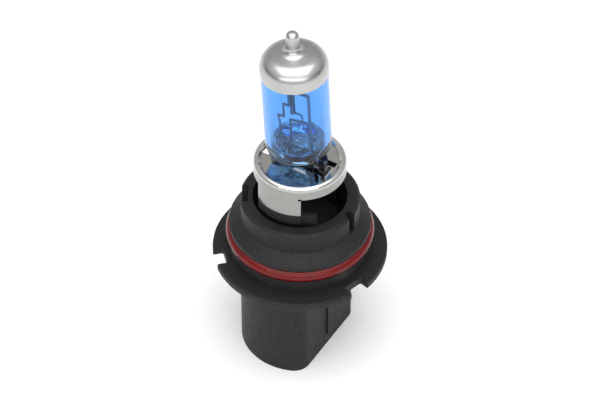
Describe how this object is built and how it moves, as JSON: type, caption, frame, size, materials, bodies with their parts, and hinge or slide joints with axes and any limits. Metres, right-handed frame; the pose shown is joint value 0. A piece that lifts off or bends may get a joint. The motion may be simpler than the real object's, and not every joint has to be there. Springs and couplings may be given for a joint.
{
  "type": "headlight bulb",
  "caption": "Halogen headlight bulb: notched flange base with keyed collar, red seal ring and plug socket, metal burner ring and blue capsule with silvered top.",
  "frame": {"origin": "centre of the index flange's top face, where the lamp housing seats, on the base axis", "axes": "+Z along the base axis towards the capsule's tip; -Y is the side the picture was taken from"},
  "size_m": [0.036, 0.036, 0.0824],
  "materials": {
    "black_plastic": "moulded satin",
    "inner_plastic": "moulded matt",
    "seal_rubber": "glossy silicone",
    "potting": "matt",
    "tinned_brass": "tin plated",
    "stainless": "satin",
    "polished_steel": "polished",
    "blue_glass": "clear blue tint",
    "silver_coating": "satin silver",
    "molybdenum": "foil",
    "lead_wire": "drawn wire",
    "tungsten": "drawn wire"
  },
  "bodies": {
    "root": {"base_moulding": "black_plastic", "burner_carrier": "inner_plastic", "o_ring": "seal_rubber", "terminal_seal": "potting", "low_beam_blade": "tinned_brass", "high_beam_blade": "tinned_brass", "common_blade": "tinned_brass", "burner_ring": "stainless", "clamp_plate": "polished_steel", "pinch_clip": "stainless", "glass_capsule": "blue_glass", "silver_cap": "silver_coating", "low_beam_foil": "molybdenum", "high_beam_foil": "molybdenum", "common_foil": "molybdenum", "low_beam_lead": "lead_wire", "high_beam_lead": "lead_wire", "common_lead": "lead_wire", "low_beam_filament": "tungsten", "high_beam_filament": "tungsten", "low_beam_wire": "lead_wire", "high_beam_wire": "lead_wire", "common_wire": "lead_wire"}
  },
  "joints": []
}
